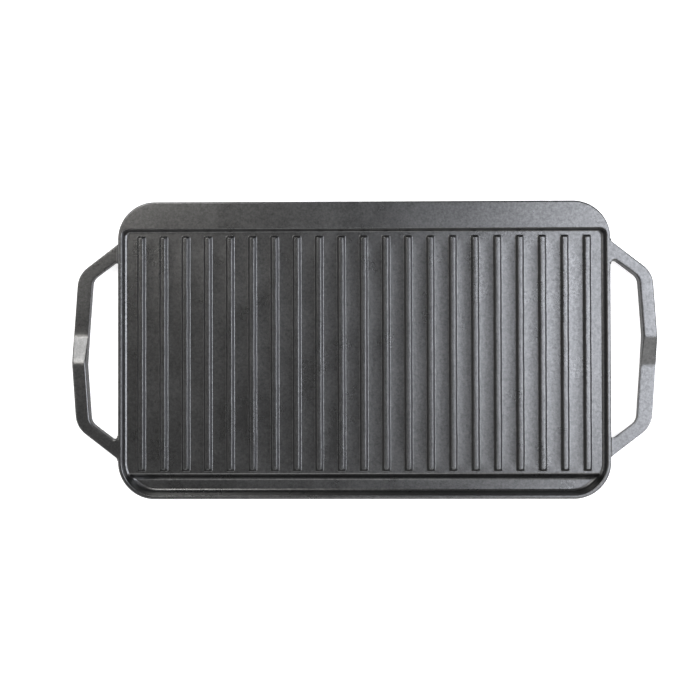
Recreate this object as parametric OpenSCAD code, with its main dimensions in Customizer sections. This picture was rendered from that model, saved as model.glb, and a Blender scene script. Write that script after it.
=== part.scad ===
// Reversible camp griddle of cast iron: ribs on the side that faces up here, and a flat
// cooking plate underneath. Turning it half a turn about its length swaps the two sides, so
// the back shelf is the other side's gutter and the front gutter is the other side's shelf.
// The sections of the casting are separate solids that meet face to face.
// X runs along the length, Y to the back and Z up. The origin is the middle of the plane
// that the griddle rests on.

/* [Body] */
// Length of the pan without its handles
body_l = 418; // [408:1:440]
// Depth of the pan from front to back
body_d = 253; // [247:1:265]
// Height from the lower rim to the upper rim
body_h = 19; // [18:0.5:22]
// Outside radius of the corners in plan
corner_r = 32; // [30:1:34]
// Thickness of the deck, the shelf and the gutter floor
plate_t = 5; // [4:0.5:6]

/* [Walls] */
// Width of the rim at its top
rim_w = 3.8; // [3.4:0.1:4.4]
// Slope of the inside of the walls in degrees
wall_draft = 10; // [7:1:12]
// Slope of the outside of the walls away from mid-height in degrees
outer_draft = 3; // [2:0.5:4]
// Rounding of the rim's outer edge
rim_outer_r = 1.5; // [1:0.1:1.6]
// Rounding of the rim's inner edge
rim_inner_r = 0.8; // [0.5:0.1:1]
// Fillet where a wall meets a floor
root_r = 2.5; // [1.5:0.1:2.8]

/* [Shelf and gutter] */
// Width of the raised shelf along the back
shelf_w = 23.8; // [22.4:0.2:24.4]
// Fillet where the shelf's front face meets the deck
shelf_root_r = 1.2; // [0.8:0.1:1.4]
// Width of the gutter along the front, from the outside to the edge of the deck
gutter_w = 20.6; // [20:0.1:21.6]
// Slope of the step from the deck into the gutter in degrees
step_draft = 20; // [12:1:24]
// Rounding of the deck's edge above the step
step_edge_r = 1.5; // [0.8:0.1:1.8]

/* [Ribs] */
// Number of ribs
rib_count = 21; // [15:2:21]
// Distance between rib centres
rib_pitch = 18.95; // [17:0.05:19]
// Height of the ribs above the deck
rib_h = 4.6; // [3:0.2:5]
// Width of a rib at its top
rib_w = 3.8; // [3:0.1:5]
// Slope of the sides and ends of the ribs in degrees
rib_draft = 18; // [10:1:20]
// Rounding of a rib's top edges
rib_edge_r = 0.5; // [0.4:0.1:0.9]
// Fillet at the foot of a rib
rib_root_r = 0.7; // [0.6:0.1:1.4]
// Clear strip of deck between the ribs' feet and the shelf
rib_back_gap = 2.5; // [1:0.5:8]
// Clear strip of deck between the ribs' feet and the rounded edge of the gutter
rib_front_gap = 1.6; // [1:0.2:8]

/* [Handles] */
// Length over both handles
overall_l = 496; // [490:1:502]
// Width of the grip
grip_w = 12.5; // [11:0.5:14]
// Width of the arms that carry the grip
arm_w = 11; // [9:0.5:12.5]
// Angle between an arm and the length of the pan in degrees
arm_angle = 37.4; // [35:0.2:39]
// Lean of each half of the grip in degrees
grip_lean = 4; // [2:0.25:5]
// Straight wall between an arm's outer face and the pan's corner
arm_inset = 2.4; // [2:0.2:8]
// Outer radius of the bend
bend_outer_r = 22; // [16:1:26]
// Inner radius of the bend
bend_inner_r = 10; // [6:1:14]
// Length of the ramp in the middle of the grip
ramp_l = 22.4; // [16:0.4:30]
// Radius that eases the ends of the ramp, seen from the side
ramp_edge_r = 2; // [1:0.5:6]
// Radius that eases the grip into its lean, seen from above
lean_r = 40; // [20:5:80]
// Fillet in the tight corner between arm and wall
arm_inner_r = 3.2; // [2:0.2:4]
// Fillet in the open corner between arm and wall
arm_outer_r = 4; // [3:0.2:4.8]

/* [Hidden] */
iron = "#3b3b3e";
arc_step = 13;
round_fn = 96;
cut_over = 1;
seam_gap = 0.7;
half_l = body_l / 2;
half_d = body_d / 2;
mid_z = body_h / 2;
deck_z0 = (body_h - plate_t) / 2;
deck_z1 = deck_z0 + plate_t;
corner_x = half_l - corner_r;
corner_y = half_d - corner_r;
outer_in = mid_z * tan(outer_draft);
tray_in = rim_w + deck_z0 * tan(wall_draft);
gutter_in = rim_w + (body_h - plate_t) * tan(wall_draft);
band_w = gutter_in + root_r + seam_gap;
shelf_y = half_d - shelf_w;
riser_y = shelf_y - deck_z0 * tan(wall_draft);
step_y = half_d - gutter_w;
step_foot_y = step_y + deck_z0 * tan(step_draft);
step_flat_y = step_y - step_edge_r * tan(45 - step_draft / 2);
deck_end_y = riser_y - shelf_root_r - seam_gap;
rib_foot = rib_h * tan(rib_draft) + rib_root_r * tan(45 - rib_draft / 2);
rib_back_y = riser_y - shelf_root_r - rib_back_gap - rib_foot;
rib_front_y = step_flat_y - rib_front_gap - rib_foot;
root_depth = 2;
arm_y = corner_y - arm_inset;
RIBS = [for (i = [1:rib_count]) str("rib_", i < 10 ? "0" : "", i)];

function unit(v) = v / norm(v);
function xy(p) = [p[0], p[1]];

// Points of the corner b between its neighbours a and c, rounded with the radius b[2]
function corner(a, b, c) =
    b[2] == 0 ? [xy(b)] :
    let (
        u = unit(xy(a) - xy(b)),
        v = unit(xy(c) - xy(b)),
        half = acos(u * v) / 2,
        centre = xy(b) + unit(u + v) * b[2] / sin(half),
        start = xy(b) + u * b[2] / tan(half) - centre,
        first = atan2(start[1], start[0]),
        sweep = -sign(cross(u, v)) * (180 - 2 * half),
        steps = ceil(abs(sweep) / arc_step)
    )
    [for (i = [0:steps]) let (t = first + sweep * i / steps) centre + b[2] * [cos(t), sin(t)]];

// Outline through the points [x, y, radius], closed
function rounded(p) =
    let (n = len(p))
    [for (i = [0:n - 1]) each corner(p[(i + n - 1) % n], p[i], p[(i + 1) % n])];

// Outline through the points [x, y, radius], whose first and last points only set a direction
function rounded_open(p) =
    [for (i = [1:len(p) - 2]) each corner(p[i - 1], p[i], p[i + 1])];

function mirror_y(p) = [for (i = [len(p) - 1:-1:0]) [p[i][0], -p[i][1], p[i][2]]];

// Corners of the wall's outside, from the lower rim to the upper rim. A wall section's first
// coordinate is the distance inwards from the outside, and its second is the height.
OUTSIDE = [[outer_in, body_h, rim_outer_r], [0, mid_z, 0], [outer_in, 0, rim_outer_r]];

// Wall beside the deck, open above and below
SIDE_SECTION = rounded(concat(OUTSIDE, [
    [rim_w, 0, rim_inner_r],
    [tray_in, deck_z0, root_r],
    [band_w, deck_z0, 0],
    [band_w, deck_z1, 0],
    [tray_in, deck_z1, root_r],
    [rim_w, body_h, rim_inner_r]
]));

// Wall in front of the gutter, solid below its floor
FRONT_SECTION = rounded(concat(OUTSIDE, [
    [band_w, 0, 0],
    [band_w, plate_t, 0],
    [gutter_in, plate_t, root_r],
    [rim_w, body_h, rim_inner_r]
]));

BLOCK_SECTION = rounded(concat(OUTSIDE, [[band_w, 0, 0], [band_w, body_h, 0]]));

// Space inside a wall, above a floor at the height z that it meets at the distance inwards
function inside_section(z, inwards) = concat(
    rounded_open([
        [band_w + cut_over, z, 0],
        [inwards, z, root_r],
        [rim_w, body_h, rim_inner_r],
        [0, body_h, 0]
    ]),
    [[rim_w - rim_inner_r, body_h + cut_over],
     [band_w + cut_over, body_h + cut_over],
     [band_w + cut_over, z]]
);

// Gutter from the front wall to the deck, in Y and Z
GUTTER_SECTION = rounded([
    [-half_d + band_w, 0, 0],
    [-shelf_y, 0, rim_inner_r],
    [-riser_y, deck_z0, shelf_root_r],
    [-deck_end_y, deck_z0, 0],
    [-deck_end_y, deck_z1, 0],
    [-step_y, deck_z1, step_edge_r],
    [-step_foot_y, plate_t, root_r],
    [-half_d + band_w, plate_t, 0]
]);

// Everything above the gutter's floor and its step, in Y and Z
ABOVE_GUTTER = concat(
    [[-half_d - cut_over, plate_t]],
    rounded_open([
        [-half_d, plate_t, 0],
        [-step_foot_y, plate_t, root_r],
        [-step_y, deck_z1, step_edge_r],
        [0, deck_z1, 0]
    ]),
    [[-step_flat_y, body_h + 2 * cut_over], [-half_d - cut_over, body_h + 2 * cut_over]]
);

// Everything behind the shelf's face on the lower side, in Y and Z
BEHIND_SHELF = concat(
    rounded_open([
        [-half_d, 0, 0],
        [-shelf_y, 0, rim_inner_r],
        [-riser_y, deck_z0, shelf_root_r],
        [0, deck_z0, 0]
    ]),
    [[0, deck_z0], [0, -2 * cut_over], [-shelf_y - rim_inner_r, -2 * cut_over]]
);

// Section of a rib or its lengthwise section: a flat top between two drafted faces
function mesa(from, to) =
    let (
        spread = rib_h * tan(rib_draft),
        far = 2 * rib_foot
    )
    concat(
        corner([to + far, 0], [to + spread, 0, rib_root_r], [to, rib_h]),
        corner([to + spread, 0], [to, rib_h, rib_edge_r], [from, rib_h]),
        corner([to, rib_h], [from, rib_h, rib_edge_r], [from - spread, 0]),
        corner([from, rib_h], [from - spread, 0, rib_root_r], [from - far, 0])
    );

// Corners of one edge of the right handle's rear half in plan, from the wall to the ramp
function handle_edge(root_y, grip_x, root_radius, bend_radius) =
    let (
        rise = tan(arm_angle),
        lean = tan(grip_lean),
        ramp_y = ramp_l / 2,
        bend_y = (root_y - (grip_x + ramp_y * lean - half_l) * rise) / (1 - lean * rise)
    )
    [
        [half_l, root_y, root_radius],
        [grip_x - (bend_y - ramp_y) * lean, bend_y, bend_radius],
        [grip_x, ramp_y, lean_r]
    ];

HANDLE_OUTER = handle_edge(arm_y, overall_l / 2, arm_outer_r, bend_outer_r);
HANDLE_INNER = handle_edge(
    arm_y - arm_w / cos(arm_angle), overall_l / 2 - grip_w, arm_inner_r, bend_inner_r
);

// How far an arm's root reaches along the wall, from its tight corner to its open one
ROOT_Y = [
    HANDLE_INNER[0][1] - arm_inner_r / tan(45 - arm_angle / 2),
    HANDLE_OUTER[0][1] + arm_outer_r / tan(45 + arm_angle / 2)
];

// Outline of a handle with its finger gap filled in, in plan
HANDLE_OUTLINE = let (wall = [half_l, half_d, 0]) concat(
    [[half_l - root_depth, ROOT_Y[1]]],
    rounded_open(concat([wall], HANDLE_OUTER, mirror_y(HANDLE_OUTER), mirror_y([wall]))),
    [[half_l - root_depth, -ROOT_Y[1]]]
);

// Outline of the finger gap in plan
FINGER_GAP = let (wall = [half_l, 0, 0]) concat(
    [[half_l - 2 * root_depth, ROOT_Y[0]]],
    rounded_open(concat([wall], HANDLE_INNER, mirror_y(HANDLE_INNER), [wall])),
    [[half_l - 2 * root_depth, -ROOT_Y[0]]]
);

// Side view of the right handle in Y and Z: low in front, high behind
HANDLE_SIDE = rounded([
    [-half_d, 0, 0],
    [-ramp_l / 2, 0, ramp_edge_r],
    [ramp_l / 2, mid_z, ramp_edge_r],
    [half_d, mid_z, 0],
    [half_d, body_h, 0],
    [ramp_l / 2, body_h, ramp_edge_r],
    [-ramp_l / 2, mid_z, ramp_edge_r],
    [-half_d, mid_z, 0]
]);

// A shape drawn in Y and Z, drawn out along X
module along_x(length) {
    rotate([90, 0, 90])
        linear_extrude(height = length, center = true)
            children();
}

// A shape drawn in X and Z, drawn out along Y
module along_y(length) {
    rotate([90, 0, 0])
        linear_extrude(height = length, center = true)
            children();
}

// Turns the griddle over about its length
module turned_over() {
    translate([0, 0, body_h])
        rotate([180, 0, 0])
            children();
}

// Area inside the walls, in plan
module inner_plan() {
    square([2 * corner_x, body_d - 2 * band_w], center = true);
    square([body_l - 2 * band_w, 2 * corner_y], center = true);
    for (x = [-corner_x, corner_x], y = [-corner_y, corner_y])
        translate([x, y])
            circle(r = corner_r - band_w, $fn = round_fn);
}

// A wall section swept round the front right corner
module round_corner(section) {
    translate([corner_x, -corner_y, 0])
        rotate([0, 0, -90])
            rotate_extrude(angle = 90, $fn = round_fn)
                polygon([for (p = section) [corner_r - p[0], p[1]]]);
}

module front_right_corner() {
    difference() {
        round_corner(BLOCK_SECTION);
        round_corner(inside_section(deck_z1, tray_in));
        intersection() {
            round_corner(inside_section(plate_t, gutter_in));
            along_x(body_l + 2 * cut_over)
                polygon(ABOVE_GUTTER);
        }
        intersection() {
            turned_over()
                mirror([0, 1, 0])
                    round_corner(inside_section(deck_z1, tray_in));
            along_x(body_l + 2 * cut_over)
                polygon(BEHIND_SHELF);
        }
    }
}

module front_wall() {
    color(iron) {
        along_x(2 * corner_x)
            polygon([for (p = FRONT_SECTION) [p[0] - half_d, p[1]]]);
        front_right_corner();
        mirror([1, 0, 0])
            front_right_corner();
    }
}

module back_wall() {
    turned_over()
        front_wall();
}

module deck_plate() {
    color(iron)
        translate([0, 0, deck_z0])
            linear_extrude(height = plate_t)
                intersection() {
                    inner_plan();
                    square([body_l, 2 * deck_end_y], center = true);
                }
}

module grease_gutter() {
    color(iron)
        intersection() {
            along_x(body_l)
                polygon(GUTTER_SECTION);
            translate([0, 0, -cut_over])
                linear_extrude(height = body_h)
                    inner_plan();
        }
}

module back_shelf() {
    turned_over()
        grease_gutter();
}

// The part of the right wall that the roots of its handle's arms take up
module arm_roots() {
    size = [2 * root_depth, ROOT_Y[1] - ROOT_Y[0], mid_z + cut_over];
    translate([half_l - root_depth, ROOT_Y[0], mid_z])
        cube(size);
    translate([half_l - root_depth, -ROOT_Y[1], -cut_over])
        cube(size);
}

module right_wall() {
    color(iron)
        difference() {
            along_y(2 * corner_y)
                polygon([for (p = SIDE_SECTION) [half_l - p[0], p[1]]]);
            arm_roots();
        }
}

module left_wall() {
    rotate([0, 0, 180])
        right_wall();
}

module right_handle() {
    color(iron)
        intersection() {
            linear_extrude(height = body_h)
                difference() {
                    polygon(HANDLE_OUTLINE);
                    polygon(FINGER_GAP);
                }
            translate([overall_l / 2, 0, 0])
                along_x(overall_l / 2)
                    polygon(HANDLE_SIDE);
        }
}

module left_handle() {
    rotate([0, 0, 180])
        right_handle();
}

// The rib with the number i, counted from the left
module rib(i) {
    color(iron)
        translate([(i - (rib_count + 1) / 2) * rib_pitch, 0, deck_z1])
            intersection() {
                along_y(body_d)
                    polygon(mesa(-rib_w / 2, rib_w / 2));
                along_x(rib_pitch)
                    polygon(mesa(-rib_front_y, rib_back_y));
            }
}

deck_plate();
grease_gutter();
back_shelf();
front_wall();
back_wall();
left_wall();
right_wall();
left_handle();
right_handle();
for (i = [1:rib_count])
    rib(i);
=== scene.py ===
"""Looks of a reversible camp griddle of cast iron, made around its packed sections.

X runs along the griddle, Y to its back and Z up, as in the frame. Lengths are in millimetres
for the casting and the camera, and in metres for the floor, the lamps and the grain.
"""

import math

import bpy
import numpy as np
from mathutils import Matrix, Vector


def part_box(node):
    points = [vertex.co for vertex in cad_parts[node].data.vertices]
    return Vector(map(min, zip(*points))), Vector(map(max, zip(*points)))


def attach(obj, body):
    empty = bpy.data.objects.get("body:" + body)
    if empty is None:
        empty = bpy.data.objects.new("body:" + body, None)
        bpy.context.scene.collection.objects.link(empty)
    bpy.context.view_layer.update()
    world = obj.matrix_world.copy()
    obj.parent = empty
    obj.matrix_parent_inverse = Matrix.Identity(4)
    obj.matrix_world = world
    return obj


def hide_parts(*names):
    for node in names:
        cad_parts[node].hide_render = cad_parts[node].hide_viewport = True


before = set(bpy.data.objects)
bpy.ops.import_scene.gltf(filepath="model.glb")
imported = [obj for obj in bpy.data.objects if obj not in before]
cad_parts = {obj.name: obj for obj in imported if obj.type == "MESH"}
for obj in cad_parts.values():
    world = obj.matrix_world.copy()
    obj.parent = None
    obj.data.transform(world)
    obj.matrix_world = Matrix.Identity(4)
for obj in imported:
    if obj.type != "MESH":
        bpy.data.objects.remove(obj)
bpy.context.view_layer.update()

MM = 0.001
BODY = "root"


# Sizes that the frame gives


def node_box(node):
    """Lowest and highest corner of a CAD node, in millimetres."""
    low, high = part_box(node)
    return np.array(low) / MM, np.array(high) / MM


DECK_LOW, DECK_HIGH = node_box("deck_plate")
SIDE_LOW, SIDE_HIGH = node_box("right_wall")
BACK_HIGH = node_box("back_wall")[1]
GUTTER_LOW = node_box("grease_gutter")[0]
HANDLE_HIGH = node_box("right_handle")[1]
RIB_NODES = sorted(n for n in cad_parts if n.startswith("rib_"))
RIB_LOW, RIB_HIGH = node_box(RIB_NODES[0])
LAST_RIB_HIGH = node_box(RIB_NODES[-1])[1]

HALF_L = SIDE_HIGH[0]
HALF_D = BACK_HIGH[1]
TOP_Z = BACK_HIGH[2]
MID_Z = TOP_Z / 2
DECK_Z = DECK_HIGH[2]
PLATE_T = DECK_Z - DECK_LOW[2]
BAND_W = HALF_L - SIDE_LOW[0]
CORNER_Y = SIDE_HIGH[1]
CORNER_R = HALF_D - CORNER_Y
CORNER_X = HALF_L - CORNER_R
DECK_END_Y = DECK_HIGH[1]
RIB_FOOT = (RIB_HIGH[0] - RIB_LOW[0]) / 2
RIB_PITCH = (LAST_RIB_HIGH[0] - RIB_HIGH[0]) / (len(RIB_NODES) - 1)

# Sizes of the casting's section

RIM_W = 3.8
WALL_DRAFT = math.radians(10)
OUTER_DRAFT = math.radians(3)
OUTER_IN = MID_Z * math.tan(OUTER_DRAFT)
RIM_OUTER_R = 1.5
RIM_INNER_R = 0.8
ROOT_R = 2.5
SHELF_RUN = 23.8
SHELF_Y = HALF_D - SHELF_RUN
SHELF_ROOT_R = 1.2
TRAY_CORNER_R = 4.0
STEP_RUN = 20.6
STEP_Y = HALF_D - STEP_RUN
STEP_DRAFT = math.radians(20)
STEP_EDGE_R = 1.5
RIB_W = 3.8
RIB_DRAFT = math.radians(18)
RIB_EDGE_R = 0.5
RIB_ROOT_R = 0.7
RIB_CORNER_R = 1.2

# Unevenness of the casting, which the solids don't have

RIB_CROWN = 0.06
RIB_TOP_DROP = 0.1
# Size and length of each wave along a rib, and its shift from one rib to the next
RIB_WAVES = ((0.05, 9.0, 2.1), (0.04, 3.7, 0.7))
# How much of the sideways wave the top of a rib shows
RIB_TOP_WAVE = 0.7
DECK_SAG = 0.13
SAG_RUN_OUT = 12.0


# The casting's surface, as distances that are negative inside the iron

# Lets points that lie on the outline count as inside it
ON_EDGE = 1e-6
# How far below the gutter's floor the search for a surface starts, and how often it halves
SEARCH_BELOW = 1.0
HALVINGS = 34
# Step to either side for measuring a slope
NUDGE = 0.01


def join(a, b, r):
    """Both of two solids, with a fillet of radius r where they meet."""
    return np.maximum(np.minimum(a, b), r) - np.hypot(np.maximum(r - a, 0), np.maximum(r - b, 0))


def meet(a, b, r):
    """What two solids share, with its edge rounded to radius r."""
    return -join(-a, -b, r)


def inset(x, y):
    """Distance inwards from the outline of the pan."""
    dx = np.abs(x) - CORNER_X
    dy = np.abs(y) - CORNER_Y
    outside = np.hypot(np.maximum(dx, 0), np.maximum(dy, 0))
    return CORNER_R - outside - np.minimum(np.maximum(dx, dy), 0)


def pan(x, y, z):
    """The pan seen from above: rim, shelf, deck and gutter, without the ribs."""
    depth = inset(x, y)
    drop = TOP_Z - z
    wall = (depth - RIM_W) * math.cos(WALL_DRAFT) - drop * math.sin(WALL_DRAFT)
    riser = (SHELF_Y - y) * math.cos(WALL_DRAFT) - drop * math.sin(WALL_DRAFT)
    step = (-STEP_Y - y) * math.cos(STEP_DRAFT) - (DECK_Z - z) * math.sin(STEP_DRAFT)
    outside = OUTER_IN * np.maximum(z - MID_Z, 0) / MID_Z - depth - ON_EDGE
    rim = meet(join(wall, riser, TRAY_CORNER_R), -drop, RIM_INNER_R)
    rim = meet(rim, outside, RIM_OUTER_R)
    floor = join(meet(z - DECK_Z, step, STEP_EDGE_R), z - PLATE_T, ROOT_R)
    near_shelf = np.clip((wall - riser) / ROOT_R, 0, 1)
    root = ROOT_R + (SHELF_ROOT_R - ROOT_R) * near_shelf
    return np.maximum(join(floor, rim, root), outside)


def height(solid, x, y):
    """Height of the top of a solid above each point of the plan."""
    low = np.full(x.shape, PLATE_T - SEARCH_BELOW)
    high = np.full(x.shape, TOP_Z)
    for _ in range(HALVINGS):
        middle = (low + high) / 2
        inside = solid(x, y, middle) <= 0
        low = np.where(inside, middle, low)
        high = np.where(inside, high, middle)
    return high


def unit(vectors):
    """The same directions, one long."""
    return vectors / np.linalg.norm(vectors, axis=-1, keepdims=True)


def slope(solid, x, y, z):
    """Unit vectors at right angles to the surface of a solid."""
    up = np.stack(
        [
            solid(x + NUDGE, y, z) - solid(x - NUDGE, y, z),
            solid(x, y + NUDGE, z) - solid(x, y - NUDGE, z),
            solid(x, y, z + NUDGE) - solid(x, y, z - NUDGE),
        ],
        axis=-1,
    )
    return unit(up)


def pan_top(x, y):
    """Heights and normals of the pan's upper side."""
    z = height(pan, x, y)
    return z, slope(pan, x, y, z)


def pan_bottom(x, y):
    """The lower side is the upper one turned over about the length."""
    z, normal = pan_top(x, -y)
    return TOP_Z - z, normal * [1, -1, -1]


def deck_sag(x, y):
    """How far the deck dips between two ribs: not at all along their feet or past their ends."""
    valley = RIB_PITCH / 2
    to_rib = np.abs((x / RIB_PITCH + 0.5) % 1 - 0.5) * RIB_PITCH
    across = 1 - ((valley - to_rib) / (valley - RIB_FOOT)) ** 2
    across = np.where(np.abs(x) < LAST_RIB_HIGH[0], across, 0)
    along = np.clip(np.minimum(y - RIB_LOW[1], RIB_HIGH[1] - y) / SAG_RUN_OUT, 0, 1)
    return DECK_SAG * across * along * along * (3 - 2 * along)


def deck_top(x, y):
    """Heights and normals of the deck between the ribs."""
    up = np.stack(
        [
            deck_sag(x + NUDGE, y) - deck_sag(x - NUDGE, y),
            deck_sag(x, y + NUDGE) - deck_sag(x, y - NUDGE),
            np.full(x.shape, 2 * NUDGE),
        ],
        axis=-1,
    )
    return DECK_Z - deck_sag(x, y), unit(up)


# Meshes

# Points of the upper and lower side that are closer than this are one point
TOUCHING = 1e-4


def add_piece(name, node, points, faces, corner_normals=None, flat_faces=()):
    """One closed piece of iron that stands for a CAD node."""
    mesh = bpy.data.meshes.new(name)
    mesh.from_pydata((np.asarray(points) * MM).tolist(), [], faces)
    mesh.shade_smooth()
    for face in flat_faces:
        mesh.polygons[face].use_smooth = False
    if flat_faces:
        corner_normals = [corner.vector for corner in mesh.corner_normals]
    if corner_normals is not None:
        mesh.normals_split_custom_set(corner_normals)
    mesh.materials.append(IRON)
    piece = bpy.data.objects.new(name, mesh)
    bpy.context.scene.collection.objects.link(piece)
    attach(piece, BODY)
    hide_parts(node)


def border(rows, columns):
    """Indices round the edge of a grid, counter-clockwise."""
    index = np.arange(rows * columns).reshape(rows, columns)
    return np.concatenate([index[0, :-1], index[:-1, -1], index[-1, :0:-1], index[:0:-1, 0]])


def add_slab(name, node, x, y, top, bottom):
    """A closed piece over a grid of plan points, between a top and a bottom surface."""
    rows, columns = x.shape
    size = rows * columns
    top_z, top_normal = top(x, y)
    bottom_z, bottom_normal = bottom(x, y)
    upper = np.stack([x, y, top_z], axis=-1).reshape(size, 3)
    lower = np.stack([x, y, bottom_z], axis=-1).reshape(size, 3)
    over = np.arange(size)
    touching = np.abs(upper[:, 2] - lower[:, 2]) < TOUCHING
    under = np.where(touching, over, over + size)
    used = np.concatenate([np.ones(size, bool), ~touching])
    number = np.cumsum(used) - 1
    points = np.concatenate([upper, lower])[used]
    top_normal = top_normal.reshape(size, 3)
    bottom_normal = bottom_normal.reshape(size, 3)

    faces = []
    normals = []

    def add(corners, around):
        faces.append([int(number[c]) for c in corners])
        normals.extend(around)

    for i in range(rows - 1):
        for j in range(columns - 1):
            quad = [i * columns + j, i * columns + j + 1]
            quad += [quad[1] + columns, quad[0] + columns]
            add(quad, top_normal[quad])
            back = quad[::-1]
            add(under[back], bottom_normal[back])
    ring = border(rows, columns)
    for a, b in zip(ring, np.roll(ring, -1)):
        corners = [over[a], under[a], under[b], over[b]]
        corners = [c for k, c in enumerate(corners) if c != corners[k - 1]]
        if len(corners) < 3:
            continue
        run = upper[b] - upper[a]
        outwards = np.array([run[1], -run[0], 0])
        outwards /= np.linalg.norm(outwards)
        add(corners, [outwards] * len(corners))
    add_piece(name, node, points, faces, normals)


def spaced(ends, step):
    """Evenly spaced values through the given ones, no more than a step apart."""
    values = []
    for a, b in zip(ends, ends[1:]):
        count = max(1, math.ceil(abs(b - a) / step))
        values.extend(np.linspace(a, b, count, endpoint=False))
    return np.array(values + [ends[-1]])


# Walls and floors

# Spacing of the points: along straight stretches, and round a quarter turn
STATION = 6.0
CORNER_STEPS = 72

# Spacing of the points across a wall: finer where its section bends
OUTER_STEPS = 3
EDGE_TURNS = np.linspace(0.02, math.pi / 2, 9)
INNER_EDGE_END = RIM_W + 0.2
INNER_EDGE_STEP = 0.14
WALL_END = BAND_W - 1.2
WALL_STEP = 0.2
WALL_FOOT_STEP = 0.6
WALL_STEPS = np.concatenate(
    [
        spaced([0, OUTER_IN], OUTER_IN / OUTER_STEPS)[:-1],
        OUTER_IN + RIM_OUTER_R * (1 - np.cos(EDGE_TURNS)),
        spaced([RIM_W - RIM_INNER_R, INNER_EDGE_END], INNER_EDGE_STEP)[:-1],
        spaced([INNER_EDGE_END, WALL_END], WALL_STEP)[:-1],
        spaced([WALL_END, BAND_W], WALL_FOOT_STEP),
    ]
)

# Spacing of the rows of the deck, and of the gutter and shelf, which is closer beside the wall
DECK_ROW = 4.0
DECK_CORNER_ROW = 0.3
DECK_COLUMNS_PER_RIB = 14
GUTTER_ROW = 0.25
FIRST_RUN = 0.5
FIRST_ROWS = 4


def wall_plan(stations):
    """Plan grid of a wall, from its outline points and the directions inwards from them."""
    points = np.array([p for p, _ in stations])
    inwards = np.array([d for _, d in stations])
    grid = points[:, None, :] + inwards[:, None, :] * WALL_STEPS[None, :, None]
    return grid[..., 0], grid[..., 1]


def side_stations(side):
    """Outline of a straight side wall: side is 1 on the right and -1 on the left."""
    along = spaced([CORNER_Y * side, -CORNER_Y * side], STATION)
    return [((side * HALF_L, y), (-side, 0)) for y in along]


def end_stations(end):
    """Outline of the front (-1) or back (1) wall with its two corners."""
    stations = []
    turns = np.linspace(0, math.pi / 2, CORNER_STEPS + 1)
    for angle in turns:
        outwards = (-math.cos(angle), math.sin(angle))
        stations.append((outwards, -CORNER_X))
    for x in spaced([-CORNER_X, CORNER_X], STATION)[1:-1]:
        stations.append(((0, 1), x))
    for angle in turns[::-1]:
        outwards = (math.cos(angle), math.sin(angle))
        stations.append((outwards, CORNER_X))
    outline = []
    for (ox, oy), x in stations[::end]:
        point = (x + CORNER_R * ox, end * (CORNER_Y + CORNER_R * oy))
        outline.append((point, (-ox, -end * oy)))
    return outline


def inner_plan(rows_y, step):
    """Plan grid inside the walls over the given rows."""
    r = CORNER_R - BAND_W
    past = np.maximum(np.abs(rows_y) - CORNER_Y, 0)
    reach = CORNER_X + np.sqrt(np.maximum(r * r - past * past, 0))
    reach = np.where(past > 0, reach, HALF_L - BAND_W)
    across = spaced([-1, 1], step / HALF_L)
    return reach[:, None] * across[None, :], np.repeat(rows_y[:, None], len(across), axis=1)


def add_walls():
    """The rim: two straight sides, and the front and back with their corners."""
    for name, side in (("left_wall", -1), ("right_wall", 1)):
        x, y = wall_plan(side_stations(side))
        add_slab(name + "_casting", name, x, y, pan_top, pan_bottom)
    for name, end in (("front_wall", -1), ("back_wall", 1)):
        x, y = wall_plan(end_stations(end))
        add_slab(name + "_casting", name, x, y, pan_top, pan_bottom)


def add_floors():
    """What the rim holds: the deck, the gutter in front of it and the shelf behind it."""
    corner_rows = spaced([CORNER_Y, DECK_END_Y], DECK_CORNER_ROW)
    straight_rows = spaced([-CORNER_Y, CORNER_Y], DECK_ROW)
    deck_rows = np.concatenate([-corner_rows[::-1], straight_rows[1:-1], corner_rows])
    x, y = inner_plan(deck_rows, RIB_PITCH / DECK_COLUMNS_PER_RIB)
    add_slab("deck_casting", "deck_plate", x, y, deck_top, pan_bottom)
    first_end = GUTTER_LOW[1] + FIRST_RUN
    gutter_rows = np.concatenate(
        [
            np.linspace(GUTTER_LOW[1], first_end, FIRST_ROWS)[:-1],
            spaced([first_end, -DECK_END_Y], GUTTER_ROW),
        ]
    )
    x, y = inner_plan(gutter_rows, STATION)
    add_slab("gutter_casting", "grease_gutter", x, y, pan_top, pan_bottom)
    x, y = inner_plan(-gutter_rows[::-1], STATION)
    add_slab("shelf_casting", "back_shelf", x, y, pan_top, pan_bottom)


# Ribs

# Spacing of the points across a rib, along it, and along its ends
RIB_ACROSS_STEP = 0.24
RIB_ALONG_STEP = 3.0
RIB_END_STEP = 0.26
# Width of the stretch inside each edge of the top where its rounding lies
RIB_EDGE_RUN = 0.9


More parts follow.
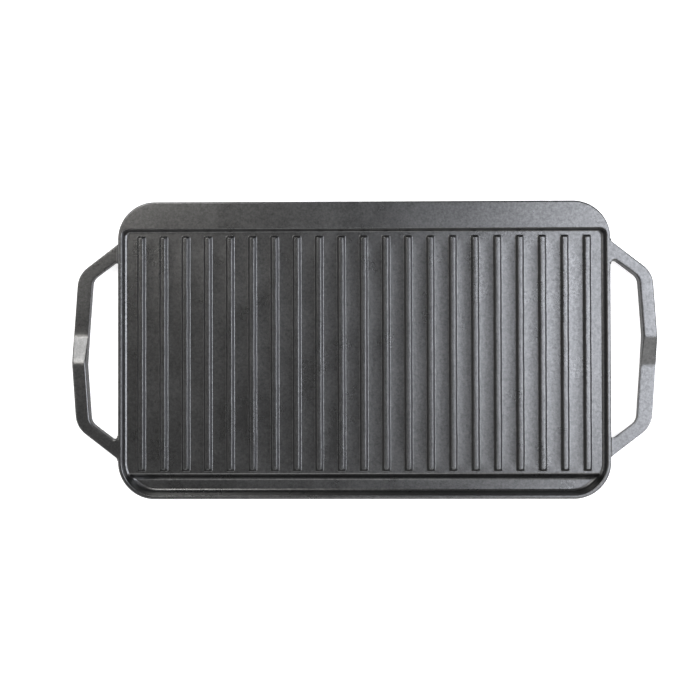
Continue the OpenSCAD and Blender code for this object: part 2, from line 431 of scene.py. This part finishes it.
def add_rib(node, number):
    """One rib: a drafted bar with rounded edges on the deck, a little uneven along its length."""
    low, high = node_box(node)
    centre = (low + high) / 2
    rib_h = high[2] - DECK_Z
    spread = rib_h * math.tan(RIB_DRAFT)
    foot = spread + RIB_ROOT_R * math.tan(math.pi / 4 - RIB_DRAFT / 2)
    half_run = (high[1] - low[1]) / 2 - foot

    def rib(x, y, z):
        wave = sum(size * np.sin(y / length + shift * number) for size, length, shift in RIB_WAVES)
        top = DECK_Z + rib_h - RIB_TOP_DROP + RIB_TOP_WAVE * wave
        off_centre = x - centre[0] - wave
        below = top - RIB_CROWN * (2 * off_centre / RIB_W) ** 2 - z
        side = np.abs(off_centre) - RIB_W / 2
        end = np.abs(y - centre[1]) - half_run
        side = side * math.cos(RIB_DRAFT) - below * math.sin(RIB_DRAFT)
        end = end * math.cos(RIB_DRAFT) - below * math.sin(RIB_DRAFT)
        bar = meet(meet(side, end, RIB_CORNER_R), -below, RIB_EDGE_R)
        return join(bar, z - DECK_Z + deck_sag(x, y), RIB_ROOT_R)

    def rib_top(x, y):
        foot_line = np.ones(x.shape, bool)
        foot_line[1:-1, 1:-1] = False
        z = np.where(foot_line, DECK_Z, height(rib, x, y))
        return z, slope(rib, x, y, z)

    def rib_bottom(x, y):
        return np.full(x.shape, DECK_Z), np.broadcast_to([0.0, 0.0, -1.0], (*x.shape, 3))

    half = (high[0] - low[0]) / 2
    flat = RIB_W / 2 - RIB_EDGE_RUN
    across = centre[0] + spaced([-half, -flat, flat, half], RIB_ACROSS_STEP)
    fine = foot + RIB_EDGE_RUN
    along = np.concatenate(
        [
            spaced([low[1], low[1] + fine], RIB_END_STEP)[:-1],
            spaced([low[1] + fine, high[1] - fine], RIB_ALONG_STEP)[:-1],
            spaced([high[1] - fine, high[1]], RIB_END_STEP),
        ]
    )
    x, y = np.meshgrid(across, along)
    add_slab(node + "_casting", node, x, y, rib_top, rib_bottom)


# Handles

ARM_ANGLE = math.radians(37.4)
ARM_INSET = 2.4
ARM_W = 11.0
ARM_OUTER_R = 4.0
ARM_INNER_R = 3.2
ARM_ROOT_R = 2.5
ROOT_DEPTH = 2.2
BEND_OUTER_R = 22.0
BEND_INNER_R = 10.0
GRIP_LEAN = math.radians(4)
GRIP_W = 12.5
LEAN_R = 40.0
RAMP_HALF = 11.2
# On the right handle the upper ramp is this much nearer the front, and the lower one the back
RAMP_SHIFT = 1.2
RAMP_EASE = 2.0
HANDLE_EDGE_R = 1.5
PARTING_EDGE_R = 0.35
HANDLE_DRAFT = math.tan(math.radians(2.2))

# Steps round the root, the bend and the lean, on the runs between them, and on half the ramp
ARC_STEPS = (14, 16, 6)
RUN_STEPS = (10, 36)
RAMP_STEPS = 16
# Points round an edge of the section, shares of its side, and steps across its top or bottom
EDGE_POINTS = 7
SIDE_SHARES = (0.25, 0.5, 0.75)
FLAT_STEPS = 7


def rounded_corner(a, b, c, r, steps):
    """Points of the corner b between a and c, rounded to radius r."""
    a, b, c = map(np.array, (a, b, c))
    u = (a - b) / np.linalg.norm(a - b)
    v = (c - b) / np.linalg.norm(c - b)
    half = math.acos(float(np.dot(u, v))) / 2
    middle = (u + v) / np.linalg.norm(u + v)
    centre = b + middle * r / math.sin(half)
    start = b + u * r / math.tan(half) - centre
    side = -math.copysign(1, u[0] * v[1] - u[1] * v[0])
    sweep = side * (math.pi - 2 * half)
    turns = sweep * np.linspace(0, 1, steps + 1)
    cos, sin = np.cos(turns), np.sin(turns)
    turned = np.stack([start[0] * cos - start[1] * sin, start[0] * sin + start[1] * cos], axis=-1)
    return centre + turned


def between(a, b, count):
    """Evenly spaced points from a to b, without a itself."""
    return a + (b - a) * np.linspace(0, 1, count + 1)[1:, None]


def handle_edge(root_y, grip_x, root_r, bend_r, wall_y):
    """One edge of the right handle's rear half, from the wall to the middle of the grip."""
    rise = math.tan(ARM_ANGLE)
    lean = math.tan(GRIP_LEAN)
    bend_y = (root_y - (grip_x + RAMP_HALF * lean - HALF_L) * rise) / (1 - lean * rise)
    bend_x = grip_x - (bend_y - RAMP_HALF) * lean
    corners = [(HALF_L, wall_y), (HALF_L, root_y), (bend_x, bend_y), (grip_x, RAMP_HALF), (grip_x, 0)]
    bends = zip((root_r, bend_r, LEAN_R), ARC_STEPS)
    arcs = [rounded_corner(*corners[k : k + 3], r, steps) for k, (r, steps) in enumerate(bends)]
    runs = [arcs[0]]
    for arc, count in zip(arcs[1:], RUN_STEPS):
        runs.append(between(runs[-1][-1], arc[0], count)[:-1])
        runs.append(arc)
    runs.append(between(arcs[-1][-1], np.array([grip_x, 0]), RAMP_STEPS))
    return np.concatenate(runs)


def handle_edges():
    """Outer and inner edge of the right handle in plan, from its front root to its rear root."""
    arm_y = CORNER_Y - ARM_INSET
    grip_x = HANDLE_HIGH[0]
    outer = handle_edge(arm_y, grip_x, ARM_OUTER_R, BEND_OUTER_R, HALF_D)
    arm_y -= ARM_W / math.cos(ARM_ANGLE)
    inner = handle_edge(arm_y, grip_x - GRIP_W, ARM_INNER_R, BEND_INNER_R, 0)
    into_wall = np.array([ROOT_DEPTH, 0])
    edges = []
    for rear in (outer, inner):
        rear = np.concatenate([[rear[0] - into_wall], rear])
        front = rear * [1, -1]
        edges.append(np.concatenate([front, rear[-2::-1]]))
    return edges


def ramp_level(y):
    """From 0 in front of the ramp to 1 behind it, with eased ends."""
    rise = np.hypot(y + RAMP_HALF, RAMP_EASE) - np.hypot(y - RAMP_HALF, RAMP_EASE)
    return np.clip(0.5 + rise / (4 * RAMP_HALF), 0, 1)


def handle_side(edge, inwards):
    """Rows of points down one side of the right handle, from its top edge to its bottom edge.

    The handle is widest where the two halves of its mould met, at mid-height.
    """
    level = ramp_level(edge[:, 1])
    top_z = MID_Z * (1 + ramp_level(edge[:, 1] + RAMP_SHIFT))
    bottom_z = MID_Z * ramp_level(edge[:, 1] - RAMP_SHIFT)
    top_r = PARTING_EDGE_R + (HANDLE_EDGE_R - PARTING_EDGE_R) * level
    bottom_r = PARTING_EDGE_R + (HANDLE_EDGE_R - PARTING_EDGE_R) * (1 - level)
    turns = np.linspace(0, math.pi / 2, EDGE_POINTS)
    levels = []
    for turn in turns:
        levels.append((top_z - top_r * (1 - math.cos(turn)), top_r * (1 - math.sin(turn))))
    for share in SIDE_SHARES:
        levels.append(((top_z - top_r) * (1 - share) + (bottom_z + bottom_r) * share, 0))
    for turn in turns[::-1]:
        levels.append((bottom_z + bottom_r * (1 - math.cos(turn)), bottom_r * (1 - math.sin(turn))))
    rows = []
    for z, round_in in levels:
        drawn_in = np.abs(z - MID_Z) * HANDLE_DRAFT + round_in
        rows.append(np.column_stack([edge + inwards * drawn_in[:, None], z]))
    return rows


def add_handle(name, node, turn):
    """A looped handle: turn is 1 on the right and -1 on the left."""
    outer, inner = handle_edges()
    inwards = unit(inner - outer)
    down = handle_side(outer, inwards)
    up = handle_side(inner, -inwards)[::-1]
    flats = np.linspace(0, 1, FLAT_STEPS + 1)[1:-1]
    rows = down + [down[-1] + (up[0] - down[-1]) * t for t in flats]
    rows += up + [up[-1] + (down[0] - up[-1]) * t for t in flats]
    points = np.array(rows)
    ring, length, _ = points.shape
    gap = np.clip(points[..., 0] - HALF_L, 0, ARM_ROOT_R)
    fillet = ARM_ROOT_R - np.sqrt(ARM_ROOT_R**2 - (ARM_ROOT_R - gap) ** 2)
    level = ramp_level(points[..., 1])
    height_share = points[..., 2] / MID_Z - level
    free = np.where(level < 0.5, height_share, height_share - 1)
    points[..., 2] += fillet * free
    points = points.transpose(1, 0, 2).reshape(-1, 3) * [turn, turn, 1]
    faces = []
    for k in range(length - 1):
        for i in range(ring):
            j = (i + 1) % ring
            faces.append([k * ring + i, k * ring + j, (k + 1) * ring + j, (k + 1) * ring + i])
    faces.append(list(range(ring))[::-1])
    faces.append([(length - 1) * ring + i for i in range(ring)])
    ends = (len(faces) - 2, len(faces) - 1)
    add_piece(name, node, points, faces, flat_faces=ends)


# Material

# Fineness of each noise, its detail and its roughness
MOTTLING = (28, 4, 0.6)
PEBBLE = (260, 2, 0.5)
FLECKS = (330, 2, 0.6)
GRAIN = (620, 2, 0.6)
# The part of a noise that is drawn out from the first to the second of two values
NOISE_RANGE = (0.3, 0.7)
FLECK_RANGE = (0.25, 0.75)
IRON_GREY = (0.006, 0.009)
IRON_ROUGHNESS = (0.26, 0.32)
IRON_IOR = 1.92
GRAIN_GLOSS = (0.4, 0.6)
FLECK_GLOSS = (-0.1, 0.1)
# Upward share of a steep side's normal where it starts to be rougher, and where it is roughest
RAW_SIDE_RISE = (0.15, 0.08)
# What that adds to the roughness
RAW_SIDE_ROUGHNESS = (0, 0.4)
# Strength and depth of the bumps
PEBBLE_BUMP = (0.1, 0.0004)
GRAIN_BUMP = (0.12, 0.0003)


def seasoned_iron():
    """Dark cast iron with a baked-on oil finish.

    It has fine sand grain, flecks, a soft gloss and faint mottling, and its steep sides are rougher.
    """
    material = bpy.data.materials.new("seasoned_iron")
    material.use_nodes = True
    tree = material.node_tree
    tree.nodes.clear()
    place = tree.nodes.new("ShaderNodeTexCoord")

    def noise(scale, detail, roughness):
        made = tree.nodes.new("ShaderNodeTexNoise")
        tree.links.new(place.outputs["Object"], made.inputs["Vector"])
        made.inputs["Scale"].default_value = scale
        made.inputs["Detail"].default_value = detail
        made.inputs["Roughness"].default_value = roughness
        return made.outputs["Fac"]

    def greys(value, ends):
        made = tree.nodes.new("ShaderNodeValToRGB")
        tree.links.new(value, made.inputs["Fac"])
        for element, position, grey in zip(made.color_ramp.elements, NOISE_RANGE, ends):
            element.position = position
            element.color = (grey, grey, grey, 1)
        return made.outputs["Color"]

    def mapped(value, source, target):
        made = tree.nodes.new("ShaderNodeMapRange")
        tree.links.new(value, made.inputs["Value"])
        for end, start, finish in zip(("Min", "Max"), source, target):
            made.inputs["From " + end].default_value = start
            made.inputs["To " + end].default_value = finish
        return made.outputs["Result"]

    def math_node(operation, *values):
        made = tree.nodes.new("ShaderNodeMath")
        made.operation = operation
        for socket, value in zip(made.inputs, values):
            tree.links.new(value, socket)
        return made.outputs["Value"]

    def bump(surface, strength, depth):
        made = tree.nodes.new("ShaderNodeBump")
        made.inputs["Strength"].default_value = strength
        made.inputs["Distance"].default_value = depth
        tree.links.new(surface, made.inputs["Height"])
        return made

    mottling = noise(*MOTTLING)
    grain = noise(*GRAIN)

    shape = tree.nodes.new("ShaderNodeNewGeometry")
    facing = tree.nodes.new("ShaderNodeSeparateXYZ")
    tree.links.new(shape.outputs["True Normal"], facing.inputs["Vector"])
    rise = math_node("ABSOLUTE", facing.outputs["Z"])
    raw_sides = mapped(rise, RAW_SIDE_RISE, RAW_SIDE_ROUGHNESS)
    roughness = math_node("ADD", greys(mottling, IRON_ROUGHNESS), raw_sides)
    flecks = mapped(noise(*FLECKS), FLECK_RANGE, FLECK_GLOSS)
    gloss = math_node("ADD", greys(grain, GRAIN_GLOSS), flecks)
    coarse = bump(noise(*PEBBLE), *PEBBLE_BUMP)
    fine = bump(grain, *GRAIN_BUMP)
    tree.links.new(coarse.outputs["Normal"], fine.inputs["Normal"])

    shader = tree.nodes.new("ShaderNodeBsdfPrincipled")
    shader.inputs["IOR"].default_value = IRON_IOR
    tree.links.new(greys(mottling, IRON_GREY), shader.inputs["Base Color"])
    tree.links.new(roughness, shader.inputs["Roughness"])
    tree.links.new(gloss, shader.inputs["Specular IOR Level"])
    tree.links.new(fine.outputs["Normal"], shader.inputs["Normal"])
    out = tree.nodes.new("ShaderNodeOutputMaterial")
    tree.links.new(shader.outputs["BSDF"], out.inputs["Surface"])
    return material


# Studio

FLOOR_REACH = 6.0
# Keeps the floor clear of the iron that stands on it
FLOOR_DROP = 0.0002
FLOOR_GREY = 0.8
FLOOR_WHITE = 0.7

# Where the pale horizon ends and the dark overhead begins, as the upward share of a direction
HORIZON_RISE = 0.05
OVERHEAD_RISE = 0.4
HORIZON_COLOUR = (0.9, 0.9, 0.9, 1)
OVERHEAD_COLOUR = (0.06, 0.058, 0.054, 1)

LAMP_DISTANCE = 1.5
# Share of its width times its span that a softbox of each shape lights
LIT_SHARE = {"RECTANGLE": 1, "ELLIPSE": math.pi / 4}
NEUTRAL = (1, 1, 1)
COOL = (0.96, 0.99, 1.07)
WARM = (1.03, 1.0, 0.95)
# Name, shape, side that it stands on, degrees from straight up, width, span, radiance, colour
SOFTBOXES = (
    ("right_softbox", "ELLIPSE", (0.99, 0.15), 36.5, 1.1, 1.47, 6.1, COOL),
    ("back_softbox", "RECTANGLE", (-0.55, 0.835), 46, 0.7, 0.4, 6.8, NEUTRAL),
    ("left_softbox", "RECTANGLE", (-0.66, 0.75), 34, 0.7, 0.5, 5.0, WARM),
    ("left_fill", "RECTANGLE", (-1, 0), 46, 1.4, 0.5, 1.55, NEUTRAL),
    ("front_softbox", "RECTANGLE", (0.17, -0.985), 39, 1.6, 1.15, 1.65, NEUTRAL),
)

PHOTO_PX = 700
MM_PER_PX = 0.8451
SENSOR_W = 36.0
CAMERA_ABOVE_RIM = 1100.0
CAMERA_X = 5.3
CAMERA_Y = -16.3
CAMERA_TURN = (0.845, 0.882, -0.137)


def camera_white(tree, shaded, white_strength):
    """A shader that adds plain white where the camera, a reflection or glass looks at it."""
    path = tree.nodes.new("ShaderNodeLightPath")
    seen = path.outputs["Is Camera Ray"]
    for ray in ("Is Glossy Ray", "Is Transmission Ray"):
        either = tree.nodes.new("ShaderNodeMath")
        either.operation = "MAXIMUM"
        tree.links.new(seen, either.inputs[0])
        tree.links.new(path.outputs[ray], either.inputs[1])
        seen = either.outputs[0]
    glow = tree.nodes.new("ShaderNodeEmission")
    glow.inputs["Color"].default_value = (1, 1, 1, 1)
    scaled = tree.nodes.new("ShaderNodeMath")
    scaled.operation = "MULTIPLY"
    scaled.inputs[1].default_value = white_strength
    tree.links.new(seen, scaled.inputs[0])
    tree.links.new(scaled.outputs[0], glow.inputs["Strength"])
    both = tree.nodes.new("ShaderNodeAddShader")
    tree.links.new(shaded, both.inputs[0])
    tree.links.new(glow.outputs["Emission"], both.inputs[1])
    return both.outputs["Shader"]


def add_floor():
    """A pale floor that is clear from underneath."""
    mesh = bpy.data.meshes.new("floor")
    corners = [(x * FLOOR_REACH, y * FLOOR_REACH, 0) for x, y in ((-1, -1), (1, -1), (1, 1), (-1, 1))]
    mesh.from_pydata(corners, [], [(0, 1, 2, 3)])
    floor = bpy.data.objects.new("floor", mesh)
    bpy.context.scene.collection.objects.link(floor)
    floor.location.z = -FLOOR_DROP

    material = bpy.data.materials.new("pale_floor")
    material.use_nodes = True
    tree = material.node_tree
    tree.nodes.clear()
    paint = tree.nodes.new("ShaderNodeBsdfDiffuse")
    paint.inputs["Color"].default_value = (FLOOR_GREY, FLOOR_GREY, FLOOR_GREY, 1)
    lit = camera_white(tree, paint.outputs["BSDF"], FLOOR_WHITE)
    back = tree.nodes.new("ShaderNodeNewGeometry")
    clear = tree.nodes.new("ShaderNodeBsdfTransparent")
    sided = tree.nodes.new("ShaderNodeMixShader")
    tree.links.new(back.outputs["Backfacing"], sided.inputs["Fac"])
    tree.links.new(lit, sided.inputs[1])
    tree.links.new(clear.outputs["BSDF"], sided.inputs[2])
    out = tree.nodes.new("ShaderNodeOutputMaterial")
    tree.links.new(sided.outputs["Shader"], out.inputs["Surface"])
    mesh.materials.append(material)


def add_world():
    """Pale as the floor at the horizon, and darker overhead."""
    world = bpy.data.worlds.new("studio")
    bpy.context.scene.world = world
    world.use_nodes = True
    tree = world.node_tree
    tree.nodes.clear()
    place = tree.nodes.new("ShaderNodeTexCoord")
    split = tree.nodes.new("ShaderNodeSeparateXYZ")
    tree.links.new(place.outputs["Generated"], split.inputs["Vector"])
    sky = tree.nodes.new("ShaderNodeValToRGB")
    tree.links.new(split.outputs["Z"], sky.inputs["Fac"])
    horizon, overhead = sky.color_ramp.elements
    horizon.position = HORIZON_RISE
    horizon.color = HORIZON_COLOUR
    overhead.position = OVERHEAD_RISE
    overhead.color = OVERHEAD_COLOUR
    light = tree.nodes.new("ShaderNodeBackground")
    tree.links.new(sky.outputs["Color"], light.inputs["Color"])
    out = tree.nodes.new("ShaderNodeOutputWorld")
    tree.links.new(light.outputs["Background"], out.inputs["Surface"])


def add_softbox(name, shape, side, angle, width, span, radiance, colour):
    """A softbox that faces the griddle, at an angle from straight up towards one side."""
    tilt = math.radians(angle)
    place = LAMP_DISTANCE * Vector((*(math.sin(tilt) * np.array(side)), math.cos(tilt)))
    lamp = bpy.data.lights.new(name, "AREA")
    lamp.shape = shape
    lamp.size = width
    lamp.size_y = span
    lamp.energy = radiance * math.pi * width * span * LIT_SHARE[shape]
    lamp.color = colour
    light = bpy.data.objects.new(name, lamp)
    bpy.context.scene.collection.objects.link(light)
    light.location = place
    light.rotation_euler = (-place).to_track_quat("-Z", "Y").to_euler()


def add_camera():
    """Looks nearly straight down, as in the photograph."""
    lens = bpy.data.cameras.new("camera")
    lens.sensor_width = SENSOR_W
    lens.lens = lens.sensor_width * CAMERA_ABOVE_RIM / (PHOTO_PX * MM_PER_PX)
    camera = bpy.data.objects.new("camera", lens)
    bpy.context.scene.collection.objects.link(camera)
    camera.location = np.array([CAMERA_X, CAMERA_Y, TOP_Z + CAMERA_ABOVE_RIM]) * MM
    camera.rotation_euler = [math.radians(angle) for angle in CAMERA_TURN]
    bpy.context.scene.camera = camera


IRON = seasoned_iron()
add_floors()
add_walls()
for rib_number, rib_node in enumerate(RIB_NODES):
    add_rib(rib_node, rib_number)
add_handle("right_handle_casting", "right_handle", 1)
add_handle("left_handle_casting", "left_handle", -1)
add_floor()
add_world()
for softbox in SOFTBOXES:
    add_softbox(*softbox)
add_camera()
bpy.context.scene.view_settings.view_transform = "Standard"
